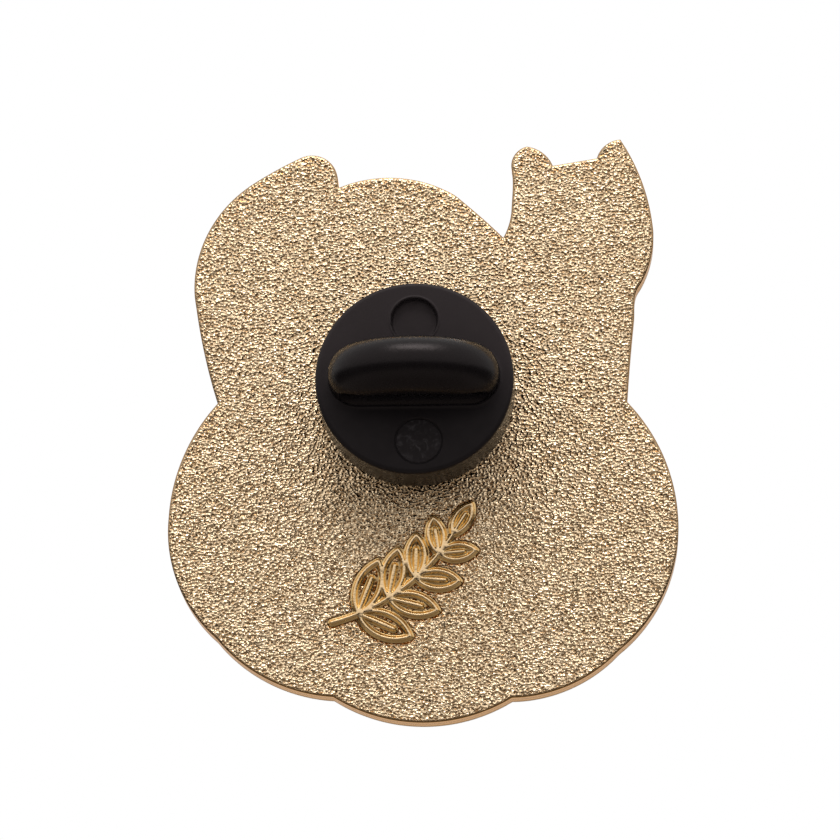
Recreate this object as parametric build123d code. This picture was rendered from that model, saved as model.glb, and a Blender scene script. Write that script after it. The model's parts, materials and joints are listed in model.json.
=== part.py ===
from build123d import *
import math
import os

# Enamel pin, worn upright. Millimetres, +Z up, enamel front towards -Y, back towards +Y.
# Origin: the axis of the post where it leaves the back of the plate.
# Drawings are made on the front view: x to the right, y up, and they are then stood up on XZ.
# The post is not quite in the middle of the drawing, so the plate stands PLATE_RISE above it.

# ---- driving dimensions -------------------------------------------------------------------

PLATE_THICKNESS = 1.4
PLATE_RISE = 0.17
BORDER_WIDTH = 0.20          # smooth border of the back, around the textured field
FIELD_DEPTH = 0.05           # the textured field lies this far below the border
RIM_WIDTH = 0.60             # metal rim around the enamel
LINE_WIDTH = 0.36            # metal line between two cells
FINE_LINE_WIDTH = 0.26       # metal lines drawn inside a cell
CELL_DEPTH = 0.55            # depth of the cells below the tops of the metal lines
ENAMEL_LEVEL = 0.14          # the enamel lies this far below the tops of the metal lines

MOTIF_LINE_WIDTH = 0.24
MOTIF_HEIGHT = 0.20

POST_RADIUS = 0.575
POST_LENGTH = 6.2            # from the plate's back to the tip
NOTCH_RADIUS = 0.40
NOTCH_LENGTH = 0.6
NOTCH_SLOPE = 0.12           # length of the slope at each end of a notch
LOWER_NOTCH_START = 1.0
UPPER_NOTCH_START = 4.9
TIP_START = 5.75
TIP_RADIUS = 0.10
FOOT_RADIUS = 1.3
FOOT_THICKNESS = 0.25
SOLDER_RADIUS = 1.68
SOLDER_HEIGHT = 0.16
SOLDER_HOLLOW = (0.12, 0.06)         # radius and height of the hollow flank, from the foot and the field

CLUTCH_GAP = 0.2             # the clutch stands this far off the plate
CLUTCH_RADIUS = 5.75
DISC_THICKNESS = 3.0
DISC_EDGE_ROUND = 0.22
WING_LENGTH = 9.9
WING_THICKNESS = 3.5
WING_HEIGHT = 4.0
WING_ARCH_START = 0.7        # the wing's ends are straight up to here, and arched above
WING_EDGE_ROUND = 1.7
WAIST_RADIUS = 1.2
WAIST_DEPTH = 0.4
WAIST_HEIGHT = 1.15
WAIST_OVERRUN = 1.0          # the waist is cut this far past the wing's ends
BORE_CLEARANCE = 0.05
BORE_TOP_WALL = 0.8
RELIEF_RADIUS = 1.75         # recess under the disc that clears the post's foot
RELIEF_DEPTH = 0.9
MARK_RADIUS = 1.34           # round moulding marks above and below the wing
UPPER_MARK = (0.0, 3.45, 0.28)        # x, height, depth
LOWER_MARK = (-0.25, -3.8, 0.06)

FRONT_TOP = -PLATE_THICKNESS
CELL_FLOOR = FRONT_TOP + CELL_DEPTH
ENAMEL_TOP = FRONT_TOP + ENAMEL_LEVEL
FIELD = -FIELD_DEPTH
DISC_FACE = CLUTCH_GAP + DISC_THICKNESS


# ---- helpers ------------------------------------------------------------------------------

def slab(drawing, y_from, y_to):
    """A front-view drawing as a solid between two depths."""
    stood_up = Plane((0, max(y_from, y_to), PLATE_RISE), x_dir=(1, 0, 0), z_dir=(0, -1, 0)) * drawing
    return extrude(stood_up, abs(y_to - y_from), dir=(0, -1, 0))


def stroke(line, width):
    """A line drawn with a round pen."""
    return SlotArc(line, width)


def arc(start, middle, end):
    return ThreePointArc(start, middle, end)


def merged(faces):
    """One drawing from many faces."""
    return Sketch() + faces


def polar(centre, radius, degrees):
    angle = math.radians(degrees)
    return (centre[0] + radius * math.cos(angle), centre[1] + radius * math.sin(angle))


def between(a, b, share):
    return (a[0] + (b[0] - a[0]) * share, a[1] + (b[1] - a[1]) * share)


def bowed(a, b, bow):
    """An arc whose middle stands off the straight line by this share of its length."""
    middle = between(a, b, 0.5)
    return arc(a, (middle[0] - (b[1] - a[1]) * bow, middle[1] + (b[0] - a[0]) * bow), b)


def turned(y_and_radius):
    """A solid of revolution about the post's axis, from its (radius, y) outline."""
    outline = Polyline(*[(radius, y) for radius, y in y_and_radius], close=True)
    return revolve(make_face(outline), Axis.Y)


# ---- outline ------------------------------------------------------------------------------

NECK = (-5.1, 9.3)           # between the head and the back
TAIL_NOTCH = (4.6, 12.55)
LEFT_CORNER = (-12.25, -0.85)
RIGHT_CORNER = (11.65, -0.65)
LOW_LEFT_CORNER = (-5.45, -18.4)
LOW_RIGHT_CORNER = (4.8, -18.25)


def outline():
    """The pin's outline: two ears, a back, a tail and the three outer petals below."""
    neck_top = (-5.6, 11.2)
    near_ear_foot = (-5.62, 13.5)
    near_ear_tip = (-6.52, 14.95)
    ear_dip = (-8.05, 13.72)
    crown_end = (-10.65, 14.14)
    far_ear_tip = (-12.05, 15.3)
    cheek = (-13.92, 9.5)
    chin = (-12.92, 6.0)
    left_side = (-15.1, -7.6)
    left_foot = (-11.6, -15.7)
    right_foot = (11.55, -14.75)
    right_side = (14.42, -7.5)
    tail_side = (13.1, 6.2)
    tail_top = (9.63, 12.9)
    tail_tip = (6.97, 14.4)
    tail_end = (4.75, 13.45)
    back_top = (-2.2, 12.0)
    return Wire([
        arc(NECK, (-5.47, 10.25), neck_top),
        Line(neck_top, near_ear_foot),
        arc(near_ear_foot, (-5.82, 14.48), near_ear_tip),
        arc(near_ear_tip, (-7.3, 14.65), ear_dip),
        Line(ear_dip, crown_end),
        arc(crown_end, (-11.16, 14.95), far_ear_tip),
        arc(far_ear_tip, (-13.33, 12.55), cheek),
        arc(cheek, (-13.68, 7.66), chin),
        arc(chin, (-12.59, 3.1), LEFT_CORNER),
        arc(LEFT_CORNER, (-14.12, -3.68), left_side),
        arc(left_side, (-14.34, -12.1), left_foot),
        arc(left_foot, (-8.84, -17.66), LOW_LEFT_CORNER),
        arc(LOW_LEFT_CORNER, (-0.15, -19.8), LOW_RIGHT_CORNER),
        arc(LOW_RIGHT_CORNER, (8.73, -17.1), right_foot),
        arc(right_foot, (13.9, -11.3), right_side),
        arc(right_side, (13.62, -3.85), RIGHT_CORNER),
        arc(RIGHT_CORNER, (12.56, 2.85), tail_side),
        arc(tail_side, (12.25, 10.02), tail_top),
        arc(tail_top, (8.32, 13.7), tail_tip),
        arc(tail_tip, (5.5, 14.4), tail_end),
        Line(tail_end, TAIL_NOTCH),
        arc(TAIL_NOTCH, (1.5, 13.12), back_top),
        arc(back_top, (-3.68, 10.7), NECK),
    ])


# ---- line drawing of the front ------------------------------------------------------------

FLOWER = (-0.4, -9.0)
PETALS = 8
EYE_RADIUS = 2.1
INNER_VALLEY_RADIUS = 5.0
INNER_TIP_RADIUS = 6.1
FIRST_PETAL_ANGLE = 22.5     # degrees
PETAL_BOW = 0.07
SHADE_SHARE = 0.42           # where a petal's darker foot ends, as a share of the petal's side
SHADE_BULGE = 1.16
CELL_SEED_SHARE = 0.75       # a point of the outer petal, between its foot and its end
INNER_SEED_RADIUS = 3.9

# where the outer petals part: the corners of the outline, the scallops on top, two folds
SCALLOP_LEFT = (-4.5, -0.2)
SCALLOP_RIGHT = (3.9, -0.2)
LEFT_FOLD = (-15.0, -10.0)
RIGHT_FOLD = (14.3, -9.2)
PETAL_ENDS = [
    RIGHT_CORNER, SCALLOP_RIGHT, SCALLOP_LEFT, LEFT_CORNER,
    LEFT_FOLD, LOW_LEFT_CORNER, LOW_RIGHT_CORNER, RIGHT_FOLD,
]


def petal_angle(index):
    """Direction from the flower's middle to where two petals part."""
    return FIRST_PETAL_ANGLE + index * 360 / PETALS


def valley(index):
    return polar(FLOWER, INNER_VALLEY_RADIUS, petal_angle(index))


def petal_edge(index):
    """The line between two outer petals."""
    return bowed(valley(index), PETAL_ENDS[index % PETALS], PETAL_BOW)


def shade_point(index):
    """Where a petal's darker foot ends, on the line between two petals."""
    point = petal_edge(index) @ SHADE_SHARE
    return (point.X, point.Y)


def flower_lines():
    lines = [
        arc(LEFT_CORNER, (-8.6, 1.1), SCALLOP_LEFT),
        arc(SCALLOP_LEFT, (-0.3, 1.9), SCALLOP_RIGHT),
        arc(SCALLOP_RIGHT, (7.9, 1.1), RIGHT_CORNER),
        CenterArc(FLOWER, EYE_RADIUS, 0, 180),
        CenterArc(FLOWER, EYE_RADIUS, 180, 180),
    ]
    for index in range(PETALS):
        middle_angle = petal_angle(index + 0.5)
        inner_tip = polar(FLOWER, INNER_TIP_RADIUS, middle_angle)
        foot_middle = between(shade_point(index), shade_point(index + 1), 0.5)
        foot_tip = between(FLOWER, foot_middle, SHADE_BULGE)
        lines += [
            Line(polar(FLOWER, EYE_RADIUS, petal_angle(index)), valley(index)),
            arc(valley(index), inner_tip, valley(index + 1)),
            petal_edge(index),
            arc(shade_point(index), foot_tip, shade_point(index + 1)),
        ]
    return lines


STRIPE_TOPS = [-1.7, 0.8, 3.3]
STRIPE_TIPS = [(-1.9, 8.7), (0.3, 9.0), (2.6, 9.1)]
STRIPE_HALF_WIDTH = 0.85
STRIPE_START = 12.9
STRIPE_BOW_SHARE = 0.55      # where a stripe's side bows out most, and by how much
STRIPE_BOW = 0.18

# lines across the tail, from its inner side to the outline
TAIL_LINES = [
    ((8.75, 3.4), (10.6, 4.2), (12.6, 3.9)),
    ((9.1, 5.4), (10.9, 6.2), (12.9, 5.9)),
    ((9.1, 7.5), (10.9, 8.6), (12.8, 8.4)),
    ((8.6, 9.3), (10.0, 10.8), (11.8, 10.9)),
    ((7.7, 10.6), (8.6, 12.2), (9.9, 12.7)),
    ((6.5, 11.7), (6.9, 13.1), (7.9, 13.9)),
]


def cat_lines():
    lines = [
        # head and ears
        arc(NECK, (-6.15, 6.6), (-8.6, 5.2)),
        arc((-8.6, 5.2), (-10.9, 4.85), (-13.1, 5.8)),
        arc((-13.4, 12.5), (-11.6, 12.3), (-10.4, 14.3)),
        arc((-5.4, 12.4), (-7.0, 12.2), (-8.1, 13.8)),
        arc((-10.5, 14.3), (-10.3, 12.5), (-9.35, 10.9)),
        arc((-9.35, 10.9), (-8.55, 12.3), (-8.3, 13.9)),
        # muzzle and nose
        arc((-11.5, 4.95), (-11.3, 7.2), (-9.5, 8.2)),
        arc((-9.5, 8.2), (-7.8, 7.4), (-7.3, 5.6)),
        arc((-10.45, 8.0), (-9.5, 6.85), (-8.6, 8.0)),
        # chest and front paws
        arc((-7.0, 5.9), (-6.5, 4.0), (-6.95, 2.25)),
        arc((-11.3, 0.3), (-10.3, 2.2), (-8.85, 1.1)),
        arc((-8.85, 1.1), (-7.4, 2.6), (-6.3, 0.8)),
        # haunch
        arc((-0.9, 1.85), (3.1, 7.3), (8.95, 4.4)),
        # inner side of the tail
        arc(TAIL_NOTCH, (6.9, 11.4), (8.3, 9.8)),
        arc((8.3, 9.8), (9.2, 6.4), (8.6, 2.9)),
        arc((8.6, 2.9), (8.2, 1.9), (7.3, 1.05)),
    ]
    for top, tip in zip(STRIPE_TOPS, STRIPE_TIPS):
        for side in (-1, 1):
            start = (top + side * STRIPE_HALF_WIDTH, STRIPE_START)
            middle = between(start, tip, STRIPE_BOW_SHARE)
            lines.append(arc(start, (middle[0] + side * STRIPE_BOW, middle[1]), tip))
    for inner, middle, outer in TAIL_LINES:
        lines.append(arc(inner, middle, outer))
    return lines


def fine_lines():
    """Lines inside a cell: shut eyes, mouth, whiskers and toes."""
    return [
        arc((-12.2, 9.9), (-11.5, 9.3), (-10.8, 9.9)),
        arc((-8.3, 9.9), (-7.6, 9.3), (-6.9, 9.9)),
        Line((-9.5, 6.95), (-9.5, 6.5)),
        arc((-9.5, 6.5), (-9.85, 6.1), (-10.35, 6.3)),
        arc((-9.5, 6.5), (-9.15, 6.1), (-8.65, 6.3)),
        Line((-12.7, 8.5), (-11.8, 8.2)),
        Line((-12.6, 7.4), (-11.9, 7.45)),
        Line((-7.1, 8.2), (-6.1, 8.6)),
        Line((-7.0, 7.45), (-6.4, 7.4)),
        Line((-10.1, 1.15), (-10.1, 1.5)),
        Line((-7.5, 1.25), (-7.5, 1.8)),
    ]


def flower_cells():
    """Seed points that name the flower's cells."""
    cells = {"enamel_flower_eye": FLOWER}
    for index in range(PETALS):
        number = index + 1
        middle_angle = petal_angle(index + 0.5)
        foot = between(shade_point(index), shade_point(index + 1), 0.5)
        end = between(PETAL_ENDS[index], PETAL_ENDS[(index + 1) % PETALS], 0.5)
        beyond_inner_petal = INNER_TIP_RADIUS + LINE_WIDTH
        cells[f"enamel_inner_petal_{number}"] = polar(FLOWER, INNER_SEED_RADIUS, middle_angle)
        cells[f"enamel_petal_shade_{number}"] = polar(FLOWER, beyond_inner_petal, middle_angle)
        cells[f"enamel_outer_petal_{number}"] = between(foot, end, CELL_SEED_SHARE)
    return cells


CAT_CELLS = {
    "enamel_face": (-11.2, 11.0),
    "enamel_far_ear": (-11.8, 13.7),
    "enamel_near_ear": (-6.7, 13.6),
    "enamel_brow": (-9.4, 13.2),
    "enamel_muzzle": (-10.5, 5.6),
    "enamel_nose": (-9.5, 7.6),
    "enamel_chest": (-9.0, 3.6),
    "enamel_left_paw": (-10.6, 1.2),
    "enamel_right_paw": (-6.9, 1.4),
    "enamel_back": (-4.0, 5.0),
    "enamel_back_stripe_1": (-1.7, 10.8),
    "enamel_back_stripe_2": (0.7, 11.5),
    "enamel_back_stripe_3": (3.2, 11.4),
    "enamel_haunch": (3.5, 4.0),
    "enamel_tail_root": (10.3, 1.9),
    "enamel_tail_stripe_1": (10.7, 5.1),
    "enamel_tail_band_1": (10.9, 7.2),
    "enamel_tail_stripe_2": (10.4, 9.5),
    "enamel_tail_band_2": (9.4, 11.2),
    "enamel_tail_stripe_3": (7.8, 12.4),
    "enamel_tail_tip": (6.1, 13.0),
}


def cells_by_name(outer):
    """The open cells of the front drawing, each under its own name."""
    strokes = [stroke(line, LINE_WIDTH) for line in flower_lines() + cat_lines()]
    strokes += [stroke(line, FINE_LINE_WIDTH) for line in fine_lines()]
    inside = Face(outer.offset_2d(-RIM_WIDTH))
    open_faces = (Sketch() + inside - strokes).faces()
    cells = {}
    for name, seed in {**CAT_CELLS, **flower_cells()}.items():
        found = [face for face in open_faces if face.is_inside((seed[0], seed[1], 0))]
        cells[name] = found[0]
    return cells


# ---- generic sprig on the back ------------------------------------------------------------

SPRIG_STEM = ((4.9, -13.9), (1.2, -12.2), (-2.1, -8.7))
LEAF_PLACES = [0.18, 0.40, 0.62, 0.84]
LEAF_LENGTH = 3.3
LEAF_SHRINK = 0.12           # each pair of leaves is this much shorter than the one before
LEAF_SPREAD = 47             # degrees between a leaf and the stem
LEAF_BOW = 0.21
MIDRIB_SHARE = 0.68          # a leaf's midrib, and the leaf at the stem's end, as shares of a leaf
END_LEAF_SHARE = 0.62


def leaf(base, direction, length):
    """Two sides and a midrib."""
    tip = polar(base, length, direction)
    return [
        bowed(base, tip, LEAF_BOW),
        bowed(base, tip, -LEAF_BOW),
        Line(base, between(base, tip, MIDRIB_SHARE)),
    ]


def sprig_lines():
    stem = arc(*SPRIG_STEM)
    lines = [stem]
    for number, place in enumerate(LEAF_PLACES):
        base = stem @ place
        along = stem % place
        heading = math.degrees(math.atan2(along.Y, along.X))
        length = LEAF_LENGTH * (1 - LEAF_SHRINK * number)
        for side in (-1, 1):
            lines += leaf((base.X, base.Y), heading + side * LEAF_SPREAD, length)
    end, along = stem @ 1, stem % 1
    heading = math.degrees(math.atan2(along.Y, along.X))
    return lines + leaf((end.X, end.Y), heading, LEAF_LENGTH * END_LEAF_SHARE)


# ---- the pieces ---------------------------------------------------------------------------

def base_plate(outer, cells):
    """Struck plate: sunk field and raised sprig on the back, cells on the front."""
    plate = slab(Face(outer), 0, FRONT_TOP)
    plate -= slab(Face(outer.offset_2d(-BORDER_WIDTH)), 0, FIELD)
    sprig = merged([stroke(line, MOTIF_LINE_WIDTH) for line in sprig_lines()])
    plate += slab(sprig, FIELD, FIELD + MOTIF_HEIGHT)
    for cell in cells.values():
        plate -= slab(cell, CELL_FLOOR, FRONT_TOP)
    return plate


def post():
    """Nail-shaped post with a foot, two locking notches and a pointed end."""
    lower_end = LOWER_NOTCH_START + NOTCH_LENGTH
    upper_end = UPPER_NOTCH_START + NOTCH_LENGTH
    return turned([
        (0, FIELD),
        (FOOT_RADIUS, FIELD),
        (FOOT_RADIUS, FIELD + FOOT_THICKNESS),
        (POST_RADIUS, FIELD + FOOT_THICKNESS),
        (POST_RADIUS, LOWER_NOTCH_START),
        (NOTCH_RADIUS, LOWER_NOTCH_START + NOTCH_SLOPE),
        (NOTCH_RADIUS, lower_end - NOTCH_SLOPE),
        (POST_RADIUS, lower_end),
        (POST_RADIUS, UPPER_NOTCH_START),
        (NOTCH_RADIUS, UPPER_NOTCH_START + NOTCH_SLOPE),
        (NOTCH_RADIUS, upper_end - NOTCH_SLOPE),
        (POST_RADIUS, upper_end),
        (POST_RADIUS, TIP_START),
        (TIP_RADIUS, POST_LENGTH),
        (0, POST_LENGTH),
    ])


def solder_ring():
    """Brazed fillet between the post's foot and the plate."""
    hollow_radius, hollow_height = SOLDER_HOLLOW
    return turned([
        (FOOT_RADIUS, FIELD),
        (SOLDER_RADIUS, FIELD),
        (FOOT_RADIUS + hollow_radius, FIELD + hollow_height),
        (FOOT_RADIUS, FIELD + SOLDER_HEIGHT),
    ])


def disc_mark(place):
    """A shallow round mark in the clutch's face."""
    x, height, depth = place
    return Pos(x, DISC_FACE - depth / 2, height) * Rot(X=90) * Cylinder(MARK_RADIUS, depth)


def wing():
    """Arched finger grip with rounded edges and a waist along each side."""
    arch = Pos(0, WING_ARCH_START) * Ellipse(WING_LENGTH / 2, WING_HEIGHT - WING_ARCH_START)
    straight = Pos(0, WING_ARCH_START / 2) * Rectangle(WING_LENGTH, WING_ARCH_START)
    above_disc = Pos(0, WING_HEIGHT) * Rectangle(2 * WING_LENGTH, 2 * WING_HEIGHT)
    drawing = (arch + straight) & above_disc
    grip = Pos(0, DISC_FACE, 0) * extrude(drawing, WING_THICKNESS / 2, both=True)
    off_the_disc = grip.edges().filter_by(lambda edge: edge.center().Y > DISC_FACE + 0.01)
    rounded = off_the_disc.filter_by(lambda edge: abs(edge.center().Z) > 0.1)
    grip = fillet(rounded, WING_EDGE_ROUND)
    for side in (-1, 1):
        off_middle = side * (WING_THICKNESS / 2 + WAIST_RADIUS - WAIST_DEPTH)
        waist_place = Pos(0, DISC_FACE + WAIST_HEIGHT, off_middle) * Rot(Y=90)
        grip -= waist_place * Cylinder(WAIST_RADIUS, WING_LENGTH + 2 * WAIST_OVERRUN)
    return grip


def clutch():
    """Rubber clutch: round disc, winged grip, and a blind bore for the post."""
    disc_place = Pos(0, CLUTCH_GAP + DISC_THICKNESS / 2, 0) * Rot(X=90)
    disc = disc_place * Cylinder(CLUTCH_RADIUS, DISC_THICKNESS)
    disc = fillet(disc.edges().filter_by(GeomType.CIRCLE), DISC_EDGE_ROUND)
    bore_radius = POST_RADIUS + BORE_CLEARANCE
    bore_end = DISC_FACE + WING_HEIGHT - BORE_TOP_WALL
    relief_end = CLUTCH_GAP + RELIEF_DEPTH
    bore = turned([
        (0, CLUTCH_GAP),
        (RELIEF_RADIUS, CLUTCH_GAP),
        (RELIEF_RADIUS, relief_end),
        (bore_radius, relief_end),
        (bore_radius, bore_end),
        (0, bore_end),
    ])
    return disc + wing() - bore - disc_mark(UPPER_MARK) - disc_mark(LOWER_MARK)


def main():
    outer = outline()
    cells = cells_by_name(outer)
    pieces = {
        "base_plate": base_plate(outer, cells),
        "post": post(),
        "solder_ring": solder_ring(),
        "rubber_clutch": clutch(),
    }
    for name, cell in cells.items():
        pieces[name] = slab(cell, CELL_FLOOR, ENAMEL_TOP)

    os.makedirs("parts", exist_ok=True)
    for name, piece in pieces.items():
        export_step(piece, f"parts/{name}.step")


main()
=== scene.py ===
import json
import math

import bmesh
import bpy
import numpy as np
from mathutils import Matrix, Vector, kdtree, noise
from mathutils.geometry import delaunay_2d_cdt


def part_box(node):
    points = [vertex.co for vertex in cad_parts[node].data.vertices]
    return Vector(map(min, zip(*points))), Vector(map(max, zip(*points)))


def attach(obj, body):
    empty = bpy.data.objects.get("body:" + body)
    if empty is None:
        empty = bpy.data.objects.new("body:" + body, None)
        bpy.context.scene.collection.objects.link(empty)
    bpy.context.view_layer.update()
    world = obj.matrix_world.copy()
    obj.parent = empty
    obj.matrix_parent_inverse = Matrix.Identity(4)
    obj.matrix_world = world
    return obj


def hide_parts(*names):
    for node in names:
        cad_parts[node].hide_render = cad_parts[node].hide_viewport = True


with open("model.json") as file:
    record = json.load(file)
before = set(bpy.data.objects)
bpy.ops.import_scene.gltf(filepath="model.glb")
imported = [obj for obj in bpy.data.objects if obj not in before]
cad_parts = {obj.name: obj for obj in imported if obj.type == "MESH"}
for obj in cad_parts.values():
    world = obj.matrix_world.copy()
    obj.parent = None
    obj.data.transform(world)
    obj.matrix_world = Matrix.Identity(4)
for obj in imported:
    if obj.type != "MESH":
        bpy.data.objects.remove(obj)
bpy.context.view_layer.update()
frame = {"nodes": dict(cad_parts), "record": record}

# The pin as worn, with +Z up and its back towards +Y. Blender takes metres, and the sums here are in mm.
MM = 0.001

# levels along Y: the CAD's own three on the back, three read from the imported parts, and where the plate's
# two halves meet
BORDER = 0.0
FIELD = -0.05
SPRIG_TOP = 0.15
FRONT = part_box("base_plate")[0].y / MM
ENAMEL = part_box("enamel_face")[0].y / MM
CELL_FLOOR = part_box("enamel_face")[1].y / MM
SHEAR_LINE = -0.62

CORNER = math.radians(25)       # an outline's vertex that turns by more is a sharp corner
LEVEL_ERROR = 0.002
SHORTEST_EDGE = 0.004
ARC_SPACING = 0.09
SAMPLE_SPACING = 0.02
GRID_JITTER = 0.16


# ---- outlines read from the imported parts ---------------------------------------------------

def flat_loops(node, level):
    """Closed outlines on XZ, in mm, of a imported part's flat faces at one level, with the material on
    their left as seen from the front."""
    mesh = frame["nodes"][node].data
    found, points, index = {}, [], []
    for vertex in mesh.vertices:
        p = vertex.co / MM
        key = (round(p.x, 4), round(p.y, 4), round(p.z, 4))
        if key not in found:
            found[key] = len(points)
            points.append(key)
        index.append(found[key])
    edges = set()
    for polygon in mesh.polygons:
        corners = [index[v] for v in polygon.vertices]
        if all(abs(points[c][1] - level) < LEVEL_ERROR for c in corners):
            if polygon.normal.y > 0:
                corners.reverse()
            edges.update(zip(corners, corners[1:] + corners[:1]))
    following = {a: b for a, b in edges if (b, a) not in edges}
    loops = []
    for start in sorted(following):
        if start in following:
            loop, at = [start], following.pop(start)
            while at != start:
                loop.append(at)
                at = following.pop(at)
            loops.append(np.array([(points[i][0], points[i][2]) for i in loop]))
    return loops


def loop_area(loop):
    x, z = loop.T
    return 0.5 * float(np.sum(x * np.roll(z, -1) - np.roll(x, -1) * z))


def smoothed(loop, step):
    """The loop with its curves filled in at about this spacing. Its corners stay sharp."""
    loop = loop[np.hypot(*(np.roll(loop, -1, 0) - loop).T) > SHORTEST_EDGE]
    ahead = np.roll(loop, -1, 0) - loop
    length = np.hypot(*ahead.T)
    way = ahead / length[:, None]
    before = np.roll(way, 1, 0)
    cross = before[:, 0] * way[:, 1] - before[:, 1] * way[:, 0]
    turn = np.abs(np.arctan2(cross, np.sum(before * way, 1)))
    back_length = np.roll(length, 1)
    # at a smooth vertex the tangent leans to the shorter side, so that long straights stay straight
    tangent = before * length[:, None] + way * back_length[:, None]
    tangent /= np.hypot(*tangent.T)[:, None]
    points = []
    for i, start in enumerate(loop):
        j = (i + 1) % len(loop)
        leave = way[i] if turn[i] > CORNER else tangent[i]
        arrive = way[i] if turn[j] > CORNER else tangent[j]
        count = max(1, round(length[i] / step))
        # a Hermite curve from this vertex to the next
        for t in np.arange(count) / count:
            a, b = t * t * (2 * t - 3) + 1, t * (t - 1) ** 2
            c, d = t * t * (3 - 2 * t), t * t * (t - 1)
            points.append(a * start + b * length[i] * leave + c * loop[j] + d * length[i] * arrive)
    return np.array(points)


def offset_points(loop, distance):
    """Points beside a loop, to its left if distance is positive, with arcs round outer corners."""
    way = np.roll(loop, -1, 0) - loop
    way /= np.hypot(*way.T)[:, None]
    left = np.stack([-way[:, 1], way[:, 0]], 1)
    points = []
    for i, corner in enumerate(loop):
        a, b = left[i - 1], left[i]
        turn = math.atan2(a[0] * b[1] - a[1] * b[0], float(a @ b))
        if turn * distance < 0 and abs(turn) > CORNER:
            count = max(2, round(abs(turn * distance) / ARC_SPACING))
            start = math.atan2(a[1], a[0])
            for t in range(count + 1):
                angle = start + turn * t / count
                points.append(corner + distance * np.array([math.cos(angle), math.sin(angle)]))
        else:
            middle = (a + b) / np.hypot(*(a + b))
            points.append(corner + middle * distance / max(0.3, float(middle @ b)))
    return np.array(points)


def tree_of(loops):
    """A search tree of closely set points along the loops, for distances."""
    samples = []
    for loop in loops:
        ahead = np.roll(loop, -1, 0) - loop
        for start, step in zip(loop, ahead):
            count = max(1, math.ceil(math.hypot(*step) / SAMPLE_SPACING))
            samples.append(start + step * (np.arange(count) / count)[:, None])
    samples = np.concatenate(samples)
    tree = kdtree.KDTree(len(samples))
    for i, p in enumerate(samples):
        tree.insert((p[0], p[1], 0), i)
    tree.balance()
    return tree


def distances(points, tree):
    return np.array([tree.find((p[0], p[1], 0))[2] for p in points])


def inside(points, loops):
    """True for each point within an odd number of loops."""
    x, z = points.T
    odd = np.zeros(len(points), bool)
    for loop in loops:
        for (ax, az), (bx, bz) in zip(loop, np.roll(loop, -1, 0)):
            if az != bz:
                crossing = (az > z) != (bz > z)
                odd ^= crossing & (x < (bx - ax) * (z - az) / (bz - az) + ax)
    return odd


def hex_grid(low, high, step, seed):
    """A grid of equal triangles' corners between two corners, each moved a little at random."""
    rng = np.random.default_rng(seed)
    rows = np.arange(low[1], high[1], step * math.sqrt(3) / 2)
    columns = np.arange(low[0], high[0], step)
    x, z = np.meshgrid(columns, rows)
    x = x + (np.arange(len(rows)) % 2)[:, None] * step / 2
    grid = np.stack([x.ravel(), z.ravel()], 1)
    return grid + rng.uniform(-GRID_JITTER, GRID_JITTER, grid.shape) * step


def triangles_of(points, loops, outlines):
    """Delaunay triangles of the points inside the outlines, with the edges of the loops kept. The loops are
    lists of point numbers."""
    edges = [pair for loop in loops for pair in zip(loop, loop[1:] + loop[:1])]
    made = delaunay_2d_cdt([Vector(p) for p in points], edges, [], 0, 1e-6, False)
    verts = np.array([tuple(v) for v in made[0]])
    if len(verts) != len(points):
        raise ValueError(f"{len(points)} points gave {len(verts)}")
    faces = np.array([f for f in made[2] if len(f) == 3])
    faces = faces[inside(verts[faces].mean(1), outlines)]
    a, b, c = verts[faces[:, 0]], verts[faces[:, 1]], verts[faces[:, 2]]
    twist = (b[:, 0] - a[:, 0]) * (c[:, 1] - a[:, 1]) - (b[:, 1] - a[:, 1]) * (c[:, 0] - a[:, 0])
    faces[twist < 0] = faces[twist < 0][:, ::-1]
    return faces


def numbered(loops, start=0):
    """Point numbers of loops whose points are stored one after another."""
    made = []
    for loop in loops:
        made.append(list(range(start, start + len(loop))))
        start += len(loop)
    return made


def clear_of(points, tree, distance):
    return points[distances(points, tree) > distance * 0.9]


def ring_set(loops, offsets, tree, bound):
    """Points beside the loops at each distance, without those that another edge is nearer to."""
    made = []
    for offset in offsets:
        ring = np.concatenate([offset_points(loop, offset) for loop in loops])
        ring = clear_of(ring, tree, abs(offset))
        made.append(ring[inside(ring, bound)])
    return np.concatenate(made)


# ---- mesh objects --------------------------------------------------------------------------

def new_object(name, points, faces, body, material, replaced, attributes=None):
    """A smooth-shaded mesh from points in mm, riding on a body."""
    mesh = bpy.data.meshes.new(name)
    mesh.from_pydata((np.asarray(points) * MM).tolist(), [], [list(map(int, f)) for f in faces])
    for key, values in (attributes or {}).items():
        layer = mesh.attributes.new(key, "FLOAT", "POINT")
        layer.data.foreach_set("value", np.asarray(values, np.float32))
    mesh.validate()
    mesh.polygons.foreach_set("use_smooth", [True] * len(mesh.polygons))
    mesh.update()
    obj = bpy.data.objects.new(name, mesh)
    bpy.context.scene.collection.objects.link(obj)
    mesh.materials.append(material)
    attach(obj, body)
    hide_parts(replaced)
    return obj


def smoothstep(x, low, high):
    t = np.clip((x - low) / (high - low), 0, 1)
    return t * t * (3 - 2 * t)


def level_points(flat, y):
    """Points on XZ, each at its own level or all at one."""
    return np.stack([flat[:, 0], np.broadcast_to(y, len(flat)), flat[:, 1]], 1)


def wave(flat, per_mm, seed):
    """A gentle unevenness, from about -1 to 1, at each point."""
    return np.array([noise.noise(Vector((x * per_mm, z * per_mm, seed))) for x, z in flat])


def rounded_drop(d, radius):
    """How far a rounded edge has dropped at distance d from its outline."""
    t = np.clip(1 - d / radius, 0, 1)
    return radius * (1 - np.sqrt(np.maximum(0, 1 - t * t)))


# ---- material nodes ------------------------------------------------------------------------

RANGE = ("From Min", "From Max", "To Min", "To Max")


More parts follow.
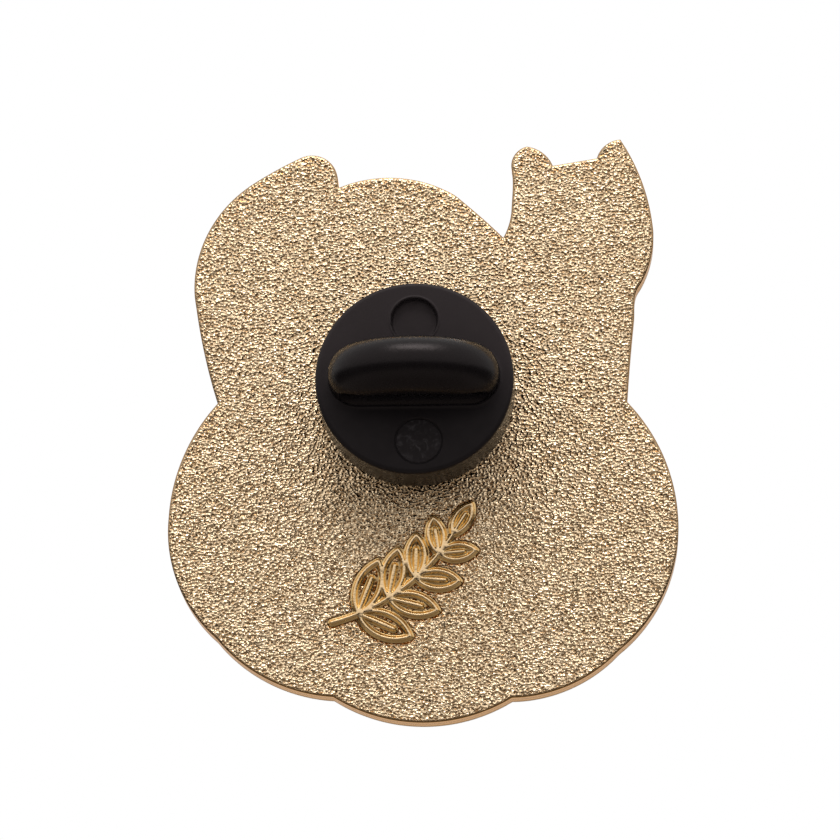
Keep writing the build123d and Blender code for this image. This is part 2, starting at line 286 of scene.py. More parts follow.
class Nodes:
    """Short calls for the nodes of one tree."""

    def __init__(self, tree):
        self.tree = tree

    def node(self, kind, **settings):
        made = self.tree.nodes.new("ShaderNode" + kind)
        for key, value in settings.items():
            setattr(made, key, value)
        return made

    def link(self, source, target):
        self.tree.links.new(source, target)

    def put(self, socket, value):
        """A socket takes a number, a colour or another node's output."""
        if isinstance(value, bpy.types.NodeSocket):
            self.link(value, socket)
        else:
            socket.default_value = value

    def ranged(self, value, low, high, to_low, to_high, curve="SMOOTHSTEP"):
        made = self.node("MapRange", interpolation_type=curve)
        self.put(made.inputs["Value"], value)
        for key, number in zip(RANGE, (low, high, to_low, to_high)):
            made.inputs[key].default_value = number
        return made.outputs["Result"]

    def mix(self, factor, a, b):
        made = self.node("Mix", data_type="RGBA")
        self.put(made.inputs[0], factor)
        self.put(made.inputs[6], a)
        self.put(made.inputs[7], b)
        return made.outputs[2]


class Surface(Nodes):
    """A Principled material and short calls for the nodes in front of it."""

    def __init__(self, name, **values):
        self.material = bpy.data.materials.new(name)
        self.material.use_nodes = True
        super().__init__(self.material.node_tree)
        self.shader = self.tree.nodes["Principled BSDF"]
        for key, value in values.items():
            self.shader.inputs[key.replace("_", " ")].default_value = value
        self.where = self.node("TexCoord").outputs["Object"]

    def attribute(self, name):
        return self.node("Attribute", attribute_name=name).outputs["Fac"]

    def stretched(self, scale):
        made = self.node("Mapping")
        self.link(self.where, made.inputs["Vector"])
        made.inputs["Scale"].default_value = scale
        return made.outputs["Vector"]

    def noise(self, per_mm, detail=2.0, rough=0.5, vector=None, distortion=0.0):
        made = self.node("TexNoise")
        self.link(vector or self.where, made.inputs["Vector"])
        made.inputs["Scale"].default_value = per_mm / MM
        made.inputs["Detail"].default_value = detail
        made.inputs["Roughness"].default_value = rough
        made.inputs["Distortion"].default_value = distortion
        return made.outputs["Fac"]

    def specks(self, per_mm, radius):
        """Small round specks: 1 in the middle of each, 0 outside it."""
        made = self.node("TexVoronoi")
        self.link(self.where, made.inputs["Vector"])
        made.inputs["Scale"].default_value = per_mm / MM
        return self.ranged(made.outputs["Distance"], 0.0, radius, 1.0, 0.0)

    def math(self, operation, a, b=0.0):
        made = self.node("Math", operation=operation)
        self.put(made.inputs[0], a)
        self.put(made.inputs[1], b)
        return made.outputs[0]

    def blend(self, factor, a, b):
        """As mix, for numbers."""
        made = self.node("Mix", data_type="FLOAT")
        self.put(made.inputs[0], factor)
        self.put(made.inputs[2], a)
        self.put(made.inputs[3], b)
        return made.outputs[0]

    def bump(self, height, distance_mm, strength=1.0, under=None):
        made = self.node("Bump")
        made.inputs["Strength"].default_value = strength
        made.inputs["Distance"].default_value = distance_mm * MM
        self.link(height, made.inputs["Height"])
        if under is not None:
            self.link(under, made.inputs["Normal"])
        return made.outputs["Normal"]

    def done(self, colour=None, roughness=None, normal=None):
        for key, value in (("Base Color", colour), ("Roughness", roughness), ("Normal", normal)):
            if value is not None:
                self.put(self.shader.inputs[key], value)
        return self.material


def rgb(r, g, b):
    return (r, g, b, 1.0)


def gold_material():
    """Pale gold plating: grained in the field, smoother on polished lines and edges, rosier on the side."""
    m = Surface("gold_plate", Metallic=1.0, Specular_Tint=rgb(1.0, 0.80, 0.58))
    polish = m.attribute("polish")
    grained = m.math("SUBTRACT", 1.0, m.math("MULTIPLY", polish, 0.96))
    # small rounded bumps parted by creases, finer than those of the mesh, and steeper beside a crease
    bumps = m.noise(7.5, 0.0, 0.5, m.stretched((0.93, 1.0, 1.08)))
    # painted shade: the creases between the fine bumps are coloured darker
    crease = m.math("MULTIPLY", m.ranged(bumps, 0.26, 0.38, 0.8, 0.0), grained)
    pads = m.math("ADD", m.ranged(bumps, 0.28, 0.50, 0.0, 0.22), bumps)
    dark = m.math("MAXIMUM", m.attribute("painted_shade"), crease)
    broad = m.noise(0.22, 2.0, 0.5)
    grain = m.mix(broad, rgb(0.95, 0.715, 0.45), rgb(0.97, 0.745, 0.49))
    polished = m.mix(m.noise(0.6, 2.0), rgb(0.90, 0.66, 0.40), rgb(0.84, 0.58, 0.32))
    colour = m.mix(polish, grain, polished)
    colour = m.mix(m.attribute("side"), colour, rgb(0.88, 0.55, 0.31))
    # painted shade: a darker ochre on the slopes of the sprig's raised lines
    colour = m.mix(m.attribute("flank"), colour, rgb(0.84, 0.59, 0.27))
    # painted shade: dark brown in the creases, at the foot of the sprig's lines, along the edges, in the
    # cells and on the side wall's front band
    colour = m.mix(m.math("MULTIPLY", dark, 0.95), colour, rgb(0.20, 0.095, 0.022))
    fine = m.noise(9.0, 3.0, 0.6)
    rough_grain = m.ranged(fine, 0.3, 0.7, 0.09, 0.15)
    rough_polish = m.ranged(m.noise(3.0, 3.0, 0.6), 0.3, 0.7, 0.17, 0.27)
    normal = m.bump(m.math("MULTIPLY", pads, grained), 0.15, 1.0)
    normal = m.bump(m.math("MULTIPLY", fine, grained), 0.008, 0.6, normal)
    scratch = m.noise(1.4, 4.0, 0.7, m.stretched((1.0, 0.12, 1.0)))
    normal = m.bump(scratch, 0.006, 0.5, normal)
    return m.done(colour, m.blend(polish, rough_grain, rough_polish), normal)


def rubber_material():
    """Moulded black rubber, faintly mottled: matt on the disc's face, a dull gloss on the wing and sides."""
    # painted light: the reddish tint on the rubber's reflections stands in for warm lamps
    m = Surface(
        "black_rubber", Metallic=0.0, IOR=1.5, Specular_IOR_Level=0.20, Specular_Tint=rgb(1.0, 0.85, 0.83)
    )
    gloss = m.attribute("gloss")
    mottle = m.noise(0.5, 4.0, 0.6)
    # painted light: the disc's face is coloured lighter on its upper part than below, for the shade the wing
    # casts on the lower part; the change fades over this distance above and below the post
    fade = 2.5 * MM
    axes = m.node("SeparateXYZ")
    m.link(m.where, axes.inputs[0])
    painted_top_light = m.ranged(axes.outputs["Z"], -fade, fade, 0.0, 1.0)
    shaded_rubber = m.mix(mottle, rgb(0.0040, 0.0034, 0.0040), rgb(0.0060, 0.0050, 0.0058))
    lit_rubber = m.mix(mottle, rgb(0.016, 0.0124, 0.0132), rgb(0.022, 0.0175, 0.0187))
    shiny = m.mix(mottle, rgb(0.0026, 0.0021, 0.0024), rgb(0.0042, 0.0034, 0.0038))
    colour = m.mix(gloss, m.mix(painted_top_light, shaded_rubber, lit_rubber), shiny)
    dust = m.specks(3.2, 0.10)
    colour = m.mix(m.math("MULTIPLY", dust, 0.15), colour, rgb(0.03, 0.028, 0.026))
    rubbed = m.ranged(m.noise(2.6, 3.0, 0.65, distortion=0.8), 0.48, 0.70, 0.0, 0.5)
    scuff = m.math("MULTIPLY", m.attribute("scuff"), rubbed)
    colour = m.mix(scuff, colour, rgb(0.045, 0.042, 0.044))
    worn = m.noise(1.2, 4.0, 0.65)
    rough_matt = m.ranged(worn, 0.3, 0.7, 0.46, 0.56)
    rough_shiny = m.ranged(worn, 0.3, 0.7, 0.24, 0.30)
    normal = m.bump(m.noise(5.0, 4.0, 0.6), 0.012, 0.5)
    normal = m.bump(m.noise(0.7, 2.0, 0.5), 0.05, 0.2, normal)
    return m.done(colour, m.blend(gloss, rough_matt, rough_shiny), normal)


def metal_material(name, light, dark, rough, drawn):
    """Bright metal: drawn wire has fine lines round it, and solder is lumpy."""
    m = Surface(name, Metallic=1.0)
    colour = m.mix(m.noise(1.6, 3.0, 0.6), light, dark)
    roughness = m.ranged(m.noise(4.0, 3.0, 0.6), 0.3, 0.7, rough - 0.05, rough + 0.08)
    if drawn:
        height = m.noise(6.0, 3.0, 0.6, m.stretched((0.05, 1.0, 0.05)))
        normal = m.bump(height, 0.012, 0.6)
    else:
        normal = m.bump(m.noise(2.2, 3.0, 0.55), 0.05, 0.6)
    return m.done(colour, roughness, normal)


def enamel_material(name, colour, deep):
    """Soft enamel: glossy resin, slightly uneven, with a few pin-prick bubbles."""
    m = Surface(name, Metallic=0.0, Coat_Weight=0.35, Coat_Roughness=0.06, Specular_IOR_Level=0.5, IOR=1.52)
    tone = m.noise(0.35, 3.0, 0.55)
    body = m.mix(m.ranged(tone, 0.3, 0.7, 0.0, 1.0), colour, deep)
    edge = m.attribute("edge")
    body = m.mix(m.math("MULTIPLY", edge, 0.55), body, deep)
    bubbles = m.specks(1.1, 0.055)
    body = m.mix(m.math("MULTIPLY", bubbles, 0.35), body, deep)
    roughness = m.ranged(m.noise(1.3, 3.0, 0.6), 0.3, 0.7, 0.13, 0.24)
    normal = m.bump(m.noise(0.8, 2.0, 0.5), 0.03, 0.35)
    normal = m.bump(m.math("SUBTRACT", 1.0, bubbles), 0.012, 0.5, normal)
    return m.done(body, roughness, normal)


GOLD = gold_material()
RUBBER = rubber_material()
POST_METAL = metal_material("post_metal", rgb(0.86, 0.66, 0.38), rgb(0.78, 0.56, 0.29), 0.2, True)
SOLDER = metal_material("solder", rgb(0.80, 0.62, 0.38), rgb(0.62, 0.46, 0.26), 0.3, False)


# ---- the plate, in two halves --------------------------------------------------------------

outline = smoothed(max(flat_loops("base_plate", BORDER), key=loop_area), 0.10)
outline_tree = tree_of([outline])
low_corner, high_corner = outline.min(0), outline.max(0)


def relief_faces(flat, kept_loops):
    """Triangles of a half's relief, whose points start with the outline and then the kept loops."""
    loops = [numbered([outline])[0], *numbered(kept_loops, len(outline))]
    return triangles_of(flat, loops, [outline])


def half_plate(name, flat, y, faces, levels, attributes):
    """Half of the plate: its relief at one end, the side wall through these levels, and a flat cap at the
    shear line. An attribute is the relief's values and a value for each level of the wall."""
    count, first = len(outline), len(flat)
    points = np.concatenate([level_points(flat, y), *(level_points(outline, level) for level in levels)])
    starts = [0, *(first + k * count for k in range(len(levels)))]
    side = [(a + i, a + (i + 1) % count, b + (i + 1) % count, b + i)
            for a, b in zip(starts, starts[1:]) for i in range(count)]
    cap = triangles_of(outline, numbered([outline]), [outline]) + starts[-1]
    # a loop runs with the material on its left as seen from the front, so the back's relief is turned over
    faces = faces[:, ::-1].tolist() + side + cap.tolist()
    if levels[0] < levels[-1]:
        faces = [face[::-1] for face in faces]
    new_object(
        name, points, faces, "badge", GOLD, "base_plate",
        {key: np.append(values, np.repeat(on_wall, count)) for key, (values, on_wall) in attributes.items()},
    )


# ---- the plate's back ----------------------------------------------------------------------

GRAIN_SIZE = 0.16
GRAIN_HEIGHT = 0.022
GRAIN_SEED = 5

# noise_vector takes its offsets from this seed, and without one each run would give another grain
noise.seed_set(GRAIN_SEED)


def grain(x, z):
    """Leathery grain of the struck field: rounded bumps parted by thin creases, from 0 in a crease to
    about 1."""
    p = Vector((x / GRAIN_SIZE, 1.1 * z / GRAIN_SIZE, 0))
    p += 0.30 * noise.noise_vector(p * 0.8 + Vector((7, 3, 1)))
    big = abs(noise.noise(p))
    small = abs(noise.noise(p * 1.7 + Vector((3.1, 8.7, 2.2))))
    return min(1.0, 2.2 * big) ** 0.75 * 0.65 + min(1.0, 2.2 * small) ** 0.75 * 0.35


EDGE_RADIUS = 0.075
BORDER_INNER = 0.06         # the border slopes down to the field from here
BORDER_FOOT = 0.14          # to here
EDGE_SHADE_LINE = (0.04, 0.10)        # the painted shade line along the rounded edge fades out over this stretch
BACK_STEP = 0.102
COVERED_RADIUS = 4.6        # the clutch covers this much, so its points are set wider
COVERED_STEP = 0.16
SPRIG_RADIUS = 0.115
SPRIG_FLANK = 0.12

sprig = [smoothed(loop, 0.09) for loop in flat_loops("base_plate", SPRIG_TOP)]
sprig_tree = tree_of(sprig)


def plate_back():
    """Back half of the plate: rounded edge, smooth border, grained field and the raised sprig."""
    edge_rings = ring_set([outline], (0.012, 0.035, EDGE_RADIUS, BORDER_FOOT), outline_tree, [outline])
    sprig_rings = ring_set(sprig, (0.045, 0.085, -0.04, -0.08, -SPRIG_FLANK), sprig_tree, [outline])
    fine = hex_grid(low_corner, high_corner, BACK_STEP, 11)
    covered = hex_grid((-COVERED_RADIUS, -COVERED_RADIUS), (COVERED_RADIUS, COVERED_RADIUS), COVERED_STEP, 14)
    fine = fine[np.hypot(*fine.T) > COVERED_RADIUS]
    covered = covered[np.hypot(*covered.T) < COVERED_RADIUS - COVERED_STEP / 2]
    field = np.concatenate([fine, covered])
    field = field[inside(field, [outline])]
    field = clear_of(field, outline_tree, BORDER_FOOT + 0.05)
    off_sprig = distances(field, sprig_tree)
    on_sprig = inside(field, sprig)
    field = field[(off_sprig > SPRIG_FLANK + 0.03) & ~on_sprig]
    flat = np.concatenate([outline, *sprig, edge_rings, sprig_rings, field])

    to_edge = distances(flat, outline_tree)
    to_edge[:len(outline)] = 0
    to_sprig = distances(flat, sprig_tree)
    to_sprig[len(outline):len(outline) + sum(map(len, sprig))] = 0
    within = inside(flat, sprig)
    border = BORDER - rounded_drop(to_edge, EDGE_RADIUS)
    in_field = smoothstep(to_edge, BORDER_INNER, BORDER_FOOT)
    rough = np.array([grain(x, z) for x, z in flat])
    quiet = smoothstep(to_sprig, SPRIG_FLANK * 0.8, SPRIG_FLANK + 0.10) * ~within
    grained = FIELD + GRAIN_HEIGHT * (rough - 0.5) * quiet
    y = border + (grained - border) * in_field
    shoulder = SPRIG_TOP - SPRIG_RADIUS
    flank = shoulder + (FIELD - shoulder) * smoothstep(to_sprig, -0.02, SPRIG_FLANK)
    raised = np.where(within, SPRIG_TOP - rounded_drop(to_sprig, SPRIG_RADIUS), flank)
    near = within | (to_sprig < SPRIG_FLANK)
    y = np.where(near, np.maximum(raised, y), y)

    beside_sprig = np.where(near, 1.0, 1 - smoothstep(to_sprig, SPRIG_FLANK, 0.2))
    polish = np.maximum(1 - in_field, beside_sprig)
    # painted shade: dark brown in the grain's creases, round the foot of the sprig's lines and along the
    # rounded edge
    crease = 0.4 * (1 - smoothstep(rough, 0.04, 0.22)) * in_field * quiet
    foot = np.where(within, 0, 0.6 * (1 - smoothstep(np.abs(to_sprig - SPRIG_FLANK), 0.0, 0.09)))
    painted_shade = np.maximum(np.maximum(crease, foot), 1 - smoothstep(to_edge, *EDGE_SHADE_LINE))
    # painted shade on the slopes of the sprig's lines, carried by the flank attribute
    flank_shade = np.where(within, 1 - smoothstep(to_sprig, 0.03, 0.10), 1 - smoothstep(to_sprig, 0.06, 0.20))

    # the first level leaves room for the shading to turn from the rounded edge to the wall
    levels = (-EDGE_RADIUS - 0.09, -0.34, SHEAR_LINE)
    half_plate("plate_back", flat, y, relief_faces(flat, sprig), levels, {
        "polish": (polish, (1, 1, 1)),
        "painted_shade": (painted_shade, (0, 0, 0)),
        "side": (np.zeros(len(flat)), (1, 1, 1)),
        "flank": (flank_shade, (0, 0, 0)),
    })


# ---- the plate's front ---------------------------------------------------------------------

CELL_NODES = sorted(name for name in frame["nodes"] if name.startswith("enamel_"))
CELL_STEP = 0.12
cell_loops = {name: [smoothed(loop, CELL_STEP) for loop in flat_loops(name, ENAMEL)] for name in CELL_NODES}
all_cells = [loop for loops in cell_loops.values() for loop in loops]
cell_tree = tree_of(all_cells)

METAL_ROUND = 0.10
FRONT_ROUND = 0.14
WALL_DRAFT = 0.010
METAL_STEP = 0.17
WAVE_HEIGHT = 0.006
SHADE_BAND_END = FRONT + FRONT_ROUND + 0.30       # the side wall's painted shade band runs from its front end to here
SHADE_BAND_FADED = FRONT + FRONT_ROUND + 0.44     # and the painted shade fades to the wall's own colour here
SHADE_BAND_DARK = (0.8, 0.75)                     # how dark the painted shade is at its two ends


def plate_front():
    """Front half of the plate: rim, raised lines with rounded tops, and the cells between them."""
    edge_rings = ring_set([outline], (0.02, 0.05, 0.09, FRONT_ROUND), outline_tree, [outline])
    line_rings = ring_set(all_cells, (-0.015, -0.05, -METAL_ROUND), cell_tree, [outline])
    line_rings = line_rings[~inside(line_rings, all_cells)]
    floor_rings = ring_set(all_cells, (WALL_DRAFT,), cell_tree, [outline])
    floor_rings = floor_rings[inside(floor_rings, all_cells)]
    metal = hex_grid(low_corner, high_corner, METAL_STEP, 12)
    metal = metal[inside(metal, [outline])]
    metal = metal[~inside(metal, all_cells)]
    metal = clear_of(clear_of(metal, outline_tree, FRONT_ROUND + 0.05), cell_tree, METAL_ROUND + 0.05)
    flat = np.concatenate([outline, *all_cells, edge_rings, line_rings, metal, floor_rings])

    to_edge = distances(flat, outline_tree)
    to_edge[:len(outline)] = 0
    to_cell = distances(flat, cell_tree)
    cell_points = sum(map(len, all_cells))
    to_cell[len(outline):len(outline) + cell_points] = 0
    drop = np.maximum(rounded_drop(to_edge, FRONT_ROUND), rounded_drop(to_cell, METAL_ROUND))
    y = FRONT + drop + WAVE_HEIGHT * (1 + wave(flat, 0.9, 4.0))
    y[len(flat) - len(floor_rings):] = CELL_FLOOR
    y[:len(outline)] = FRONT + FRONT_ROUND
    in_cell = smoothstep(y, FRONT + 0.08, FRONT + 0.2) * (to_edge > FRONT_ROUND)

    # painted shade: the metal dipping into the cells, the front's outer edge and the side wall's front band
    # are darkened
    painted_shade = np.maximum(in_cell, SHADE_BAND_DARK[0] * (to_edge == 0))
    levels = (SHADE_BAND_END, SHADE_BAND_FADED, SHEAR_LINE - 0.05, SHEAR_LINE)
    half_plate("plate_front", flat, y, relief_faces(flat, all_cells), levels, {
        "polish": (np.ones(len(flat)), (1, 1, 1, 1)),
        "painted_shade": (painted_shade, (SHADE_BAND_DARK[1], 0, 0, 0)),
        "side": (1 - smoothstep(to_edge, 0.0, FRONT_ROUND), (1, 1, 1, 1)),
    })


# ---- enamel --------------------------------------------------------------------------------

ENAMEL_RINGS = (0.03, 0.08, 0.16, 0.28)
ENAMEL_STEP = 0.30
MENISCUS = 0.055
MENISCUS_WIDTH = 0.075
SAG = 0.035
RIPPLE = 0.005
EDGE_TONE_WIDTH = 0.16

ENAMELS = {
    "enamel_ginger": (rgb(0.80, 0.33, 0.07), rgb(0.62, 0.20, 0.035)),
    "enamel_rust": (rgb(0.42, 0.12, 0.03), rgb(0.28, 0.065, 0.018)),
    "enamel_cream": (rgb(0.86, 0.74, 0.55), rgb(0.72, 0.56, 0.36)),
    "enamel_pink": (rgb(0.82, 0.38, 0.34), rgb(0.66, 0.24, 0.22)),
    "enamel_blush": (rgb(0.84, 0.50, 0.46), rgb(0.74, 0.36, 0.34)),
    "enamel_rose": (rgb(0.64, 0.15, 0.19), rgb(0.46, 0.08, 0.12)),
    "enamel_coral": (rgb(0.80, 0.22, 0.16), rgb(0.62, 0.12, 0.09)),
    "enamel_yellow": (rgb(0.86, 0.56, 0.09), rgb(0.72, 0.38, 0.045)),
}


def enamel_cell(name, material):
    """One cell's enamel: it climbs the metal a little at its edge and sags in the middle."""
    loops = cell_loops[name]
    tree = tree_of(loops)
    rings = ring_set(loops, ENAMEL_RINGS, tree, loops)
    outer = max(loops, key=loop_area)
    grid = hex_grid(outer.min(0), outer.max(0), ENAMEL_STEP, 13)
    grid = grid[inside(grid, loops)]
    grid = clear_of(grid, tree, ENAMEL_RINGS[-1] + 0.12)
    flat = np.concatenate([*loops, rings, grid])
    faces = triangles_of(flat, numbered(loops), loops)
    rim = sum(map(len, loops))
    depth = distances(flat, tree)
    depth[:rim] = 0
    y = ENAMEL - MENISCUS * np.exp(-depth / MENISCUS_WIDTH) + SAG * smoothstep(depth, 0.1, 1.1)
    y += RIPPLE * wave(flat, 0.7, 9.0) * smoothstep(depth, 0.0, 0.3)
    bottom = np.concatenate(loops)
    points = np.concatenate([level_points(flat, y), level_points(bottom, CELL_FLOOR)])
    first = len(flat)
    side = [(b, a, first + a, first + b)
            for loop in numbered(loops) for a, b in zip(loop, loop[1:] + loop[:1])]
    under = triangles_of(bottom, numbered(loops), loops)[:, ::-1] + first
    edge = np.append(np.exp(-depth / EDGE_TONE_WIDTH), np.ones(rim))
    new_object(
        name.replace("enamel_", "fill_"), points, faces.tolist() + side + under.tolist(),
        "badge", material, name, {"edge": edge},
    )


# ---- turned pieces -------------------------------------------------------------------------

def lathe(name, profile, material, replaced, segments=96, wobble=0.0):
    """A solid of revolution about the post's axis, from (radius, y) points. The profile starts and ends on
    the axis, or closes on itself."""
    rings = [p for p in profile if p[0] > 0]
    closed = len(rings) == len(profile)
    points, faces = [], []
    for number, (radius, y) in enumerate(rings):
        for k in range(segments):
            angle = 2 * math.pi * k / segments
            way = Vector((math.cos(angle), math.sin(angle)))
            swell = 1 + wobble * noise.noise(Vector((way.x * 1.7, way.y * 1.7, number * 0.3)))
            points.append((radius * swell * way.x, y, radius * swell * way.y))
    pairs = list(zip(range(len(rings) - 1), range(1, len(rings))))
    if closed:
        pairs.append((len(rings) - 1, 0))
    for a, b in pairs:
        for k in range(segments):
            n = (k + 1) % segments
            faces.append((a * segments + k, b * segments + k, b * segments + n, a * segments + n))
    if not closed:
        for ring, y, flip in ((0, profile[0][1], False), (len(rings) - 1, profile[-1][1], True)):
            centre = len(points)
            points.append((0, y, 0))
            for k in range(segments):
                n = (k + 1) % segments
                face = (ring * segments + k, ring * segments + n, centre)
                faces.append(face[::-1] if flip else face)
    obj = new_object(name, points, faces, "badge", material, replaced)
    bm = bmesh.new()
    bm.from_mesh(obj.data)
    bmesh.ops.recalc_face_normals(bm, faces=bm.faces)
    bm.to_mesh(obj.data)
    bm.free()


def rounded_profile(corners, radius):
    """A profile with each of its corners rounded by a short quadratic curve."""
    count = 5
    made = [corners[0]]
    for before, corner, after in zip(corners, corners[1:], corners[2:]):
        before, corner, after = Vector(before), Vector(corner), Vector(after)
        reach = min(radius, (before - corner).length * 0.45, (after - corner).length * 0.45)
        start = corner + (before - corner).normalized() * reach
        end = corner + (after - corner).normalized() * reach
        for k in range(count + 1):
            t = k / count
            p = start * (1 - t) ** 2 + corner * (2 * t * (1 - t)) + end * t * t
            made.append((p.x, p.y))
    made.append(corners[-1])
    return made


def post_and_solder():
    """The post with its foot, two notches and blunt tip, and the fillet round the foot."""
    pin, neck, foot, foot_top, tip = 0.575, 0.40, 1.3, 0.20, 6.2
    corners = [(0, FIELD), (foot, FIELD), (foot, foot_top), (pin, foot_top)]
    for start, end in ((1.0, 1.6), (4.9, 5.5)):
        corners += [(pin, start), (neck, start + 0.12), (neck, end - 0.12), (pin, end)]
    corners += [(pin, tip - 0.45), (0.10, tip), (0, tip)]
    lathe("post_pin", rounded_profile(corners, 0.07), POST_METAL, "post")
    fillet = ((1.27, 0), (1.67, 0), (1.62, 0.012), (1.5, 0.03), (1.41, 0.062), (1.34, 0.11), (1.31, 0.155),
              (1.27, 0.158))
    ring = [(radius, FIELD + height) for radius, height in fillet]
    lathe("solder_fillet", ring, SOLDER, "solder_ring", segments=144, wobble=0.006)


# ---- rubber clutch -------------------------------------------------------------------------

CLUTCH_VOXEL = 0.08
MARK_RADIUS = 1.34
MARKS = ((0.0, 3.45), (-0.25, -3.8))     # x and z of the round marks above and below the wing
SUNK_DEPTH = 0.17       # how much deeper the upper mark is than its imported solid
LIP_HEIGHT = 0.03
LIP_OFFSET = 0.09       # from the upper mark's edge to the middle of its lip
LIP_WIDTH = 0.05
GROOVE_WIDTH = 0.045    # of the groove round the lower mark
GROOVE_DEPTH = 0.07
PIT_DEPTH = 0.022


def refined_marks(mesh, face_level):
    """Divides the mesh finely around the two marks' rings, on the disc's face."""
    bm = bmesh.new()
    bm.from_mesh(mesh)
    near = []
    for edge in bm.edges:
        middle = (edge.verts[0].co + edge.verts[1].co) / (2 * MM)
        off = min(abs(math.hypot(middle.x - x, middle.z - z) - MARK_RADIUS) for x, z in MARKS)
        if off < 0.22 and face_level - 0.5 < middle.y < face_level + 0.1:
            near.append(edge)
    bmesh.ops.subdivide_edges(bm, edges=near, cuts=2, use_grid_fill=True)
    bm.to_mesh(mesh)
    bm.free()


def rubber_clutch():
    """The moulded clutch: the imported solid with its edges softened, its upper mark sunk deeper inside a low
    lip, and its lower mark cut crisply."""
    source = frame["nodes"]["rubber_clutch"]
    mesh = source.data.copy()
    mesh.name = "clutch_body"
    obj = bpy.data.objects.new("clutch_body", mesh)
    bpy.context.scene.collection.objects.link(obj)
    bm = bmesh.new()
    bm.from_mesh(mesh)
    bmesh.ops.remove_doubles(bm, verts=bm.verts, dist=0.001 * MM)
    bm.to_mesh(mesh)
    bm.free()
    remesh = obj.modifiers.new("remesh", "REMESH")
    remesh.mode = "VOXEL"
    remesh.voxel_size = CLUTCH_VOXEL * MM
    smooth = obj.modifiers.new("smooth", "SMOOTH")
    smooth.factor = 0.5
    smooth.iterations = 3
    graph = bpy.context.evaluated_depsgraph_get()
    final = bpy.data.meshes.new_from_object(obj.evaluated_get(graph), depsgraph=graph)
    obj.modifiers.clear()
    obj.data = final
    final.name = "clutch_body"
    flat_area = {}
    for polygon in final.polygons:
        if polygon.normal.y > 0.999:
            level = round(polygon.center.y / MM, 1)
            flat_area[level] = flat_area.get(level, 0) + polygon.area
    face_level = max(flat_area, key=flat_area.get)
    refined_marks(final, face_level)

    points = np.empty(len(final.vertices) * 3)
    final.vertices.foreach_get("co", points)
    points = points.reshape(-1, 3) / MM
    x, y, z = points.T
    from_high, from_low = (np.hypot(x - mark_x, z - mark_z) for mark_x, mark_z in MARKS)
    on_face = smoothstep(y, face_level - 0.12, face_level - 0.04)
    on_face *= 1 - smoothstep(y, face_level + 0.05, face_level + 0.1)
    groove = np.exp(-(((from_low - MARK_RADIUS) / GROOVE_WIDTH) ** 2))
    pitted = np.array([noise.noise(Vector(p) * 1.9) for p in points]) * (from_low < MARK_RADIUS - 0.1)
    sunk = smoothstep(y, face_level - 0.02, face_level - 0.26) * (from_high < MARK_RADIUS + 0.12)
    lip = np.exp(-(((from_high - MARK_RADIUS - LIP_OFFSET) / LIP_WIDTH) ** 2))
    relief = LIP_HEIGHT * lip - GROOVE_DEPTH * groove - PIT_DEPTH * np.maximum(pitted, 0)
    # y is a view of these points, so it holds the finished level from here on
    points[:, 1] += on_face * relief - SUNK_DEPTH * sunk
    on_wing = smoothstep(y, face_level + 0.03, face_level + 0.2)
    below_face = 1 - smoothstep(y, face_level - 0.20, face_level - 0.06)
    off_marks = np.minimum(from_high, from_low) > MARK_RADIUS + 0.3
    final.vertices.foreach_set("co", (points * MM).ravel())
    final.update()
    for key, values in (
        ("gloss", np.maximum(on_wing, below_face * off_marks)),
        ("scuff", on_face * (1 - smoothstep(from_low, MARK_RADIUS - 0.1, MARK_RADIUS))),
    ):
        final.attributes.new(key, "FLOAT", "POINT").data.foreach_set("value", values.astype(np.float32))
    final.materials.clear()
    final.materials.append(RUBBER)
    final.polygons.foreach_set("use_smooth", [True] * len(final.polygons))
    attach(obj, "clutch")
    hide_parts("rubber_clutch")


# ---- studio --------------------------------------------------------------------------------

# what the metal and the rubber mirror: the room's radiance from straight down (-1) to straight up (1), and
# the backdrop's on the enamel's side
ROOM = ((-1.0, 0.20), (-0.55, 0.36), (-0.25, 0.03), (0.0, 0.03), (0.17, 0.66), (0.31, 0.95), (1.0, 0.93))
BACKDROP = 0.66
FLOOR_LEVEL = -115 * MM
FLOOR_SIZE = 8.0            # metres


def stage_floor():
    bpy.ops.mesh.primitive_plane_add(size=FLOOR_SIZE, location=(0, 0, FLOOR_LEVEL))
    floor = bpy.context.object
    floor.name = "studio_floor"
    # the polished metal mirrors the dark room below it, not the pale floor
    floor.visible_glossy = False
    paper = Surface("studio_paper", Roughness=0.85)
    shade = paper.mix(paper.noise(0.01, 2.0), rgb(0.86, 0.86, 0.86), rgb(0.88, 0.88, 0.88))
    floor.data.materials.append(paper.done(shade))


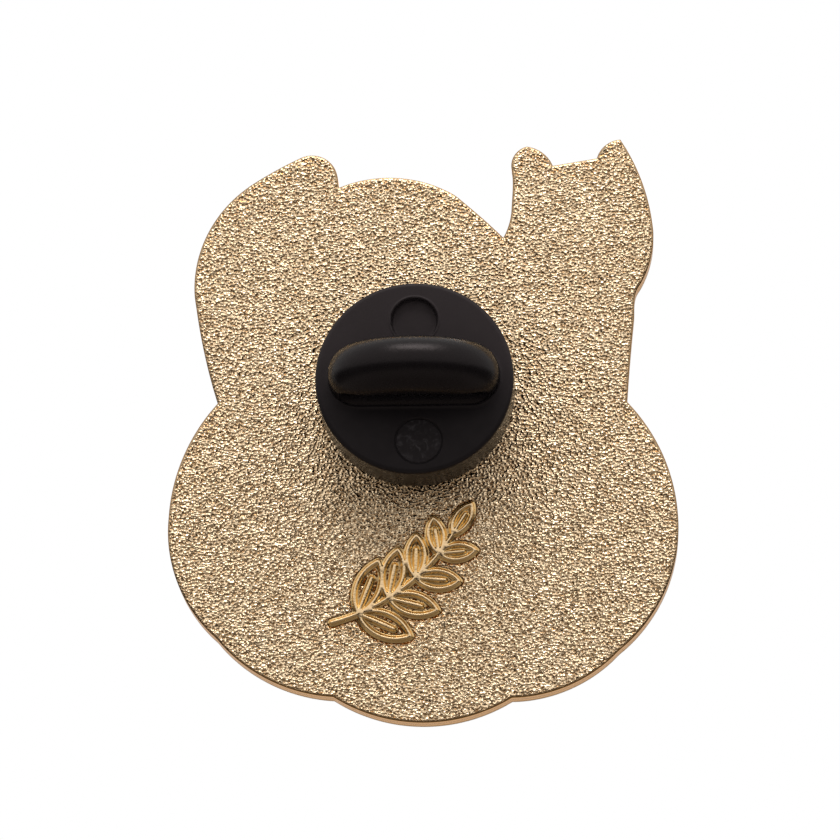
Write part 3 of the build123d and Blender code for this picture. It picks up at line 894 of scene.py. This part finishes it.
def studio_room():
    """The world: the camera sees white paper, and all other rays see the room and the backdrop."""
    world = bpy.data.worlds.new("studio")
    bpy.context.scene.world = world
    world.use_nodes = True
    w = Nodes(world.node_tree)
    axes = w.node("SeparateXYZ")
    w.link(w.node("TexCoord").outputs["Generated"], axes.inputs[0])
    ramp = w.node("ValToRGB")
    ramp.color_ramp.interpolation = "EASE"
    w.link(w.ranged(axes.outputs["Z"], -1.0, 1.0, 0.0, 1.0, "LINEAR"), ramp.inputs["Fac"])
    stops = ramp.color_ramp.elements
    while len(stops) < len(ROOM):
        stops.new(0.5)
    for stop, (z, radiance) in zip(stops, ROOM):
        stop.position = (z + 1) / 2
        # the dark of the room is brown, and its bright part white
        warmth = max(0.0, 1 - 1.8 * radiance)
        stop.color = rgb(radiance, radiance * (1 - 0.25 * warmth), radiance * (1 - 0.5 * warmth))
    behind = w.ranged(axes.outputs["Y"], -0.25, -0.7, 0.0, 1.0)
    mirrored = w.mix(behind, ramp.outputs["Color"], rgb(BACKDROP, BACKDROP, BACKDROP))
    room = world.node_tree.nodes["Background"]
    w.link(mirrored, room.inputs["Color"])
    paper_white = w.node("Background")
    paper_white.inputs["Color"].default_value = rgb(1, 1, 1)
    chosen = w.node("MixShader")
    w.link(w.node("LightPath").outputs["Is Camera Ray"], chosen.inputs[0])
    w.link(room.outputs[0], chosen.inputs[1])
    w.link(paper_white.outputs[0], chosen.inputs[2])
    w.link(chosen.outputs[0], world.node_tree.nodes["World Output"].inputs["Surface"])
    bpy.context.scene.view_settings.view_transform = "Standard"


def softbox(name, place_mm, size_mm, radiance):
    """A white panel of light that faces the origin."""
    data = bpy.data.lights.new(name, "AREA")
    data.shape = "RECTANGLE"
    data.size, data.size_y = (s * MM for s in size_mm)
    data.energy = radiance * math.pi * data.size * data.size_y
    lamp = bpy.data.objects.new(name, data)
    bpy.context.scene.collection.objects.link(lamp)
    place = Vector(place_mm) * MM
    lamp.location = place
    lamp.rotation_mode = "QUATERNION"
    lamp.rotation_quaternion = (Vector((0, 0, 0)) - place).to_track_quat("-Z", "Y")


CAMERA_TARGET = (-0.19, 0, -1.65)
CAMERA_DISTANCE = 271.8
CAMERA_TURN = math.radians(2.6)
CAMERA_RISE = math.radians(-16)     # the photo looks at the back from a little below


def camera():
    data = bpy.data.cameras.new("photo_camera")
    data.lens = 200
    data.sensor_width = 36
    data.clip_start, data.clip_end = 0.01, 20
    view = bpy.data.objects.new("photo_camera", data)
    bpy.context.scene.collection.objects.link(view)
    back = Vector((
        -math.sin(CAMERA_TURN) * math.cos(CAMERA_RISE),
        math.cos(CAMERA_TURN) * math.cos(CAMERA_RISE),
        math.sin(CAMERA_RISE),
    ))
    view.location = Vector(CAMERA_TARGET) * MM + back * (CAMERA_DISTANCE * MM)
    view.rotation_mode = "QUATERNION"
    view.rotation_quaternion = (-back).to_track_quat("-Z", "Y")
    bpy.context.scene.camera = view


plate_back()
plate_front()
slots = {part["node"]: part["material_slot"] for part in frame["record"]["subparts"]}
enamels = {slot: enamel_material(slot, *colours) for slot, colours in ENAMELS.items()}
for cell in CELL_NODES:
    enamel_cell(cell, enamels[slots[cell]])
post_and_solder()
rubber_clutch()
stage_floor()
studio_room()
camera()
softbox("key_above", (0, 250, 433), (260, 150), 6.0)
softbox("front_above", (-60, -240, 210), (280, 220), 2.2)
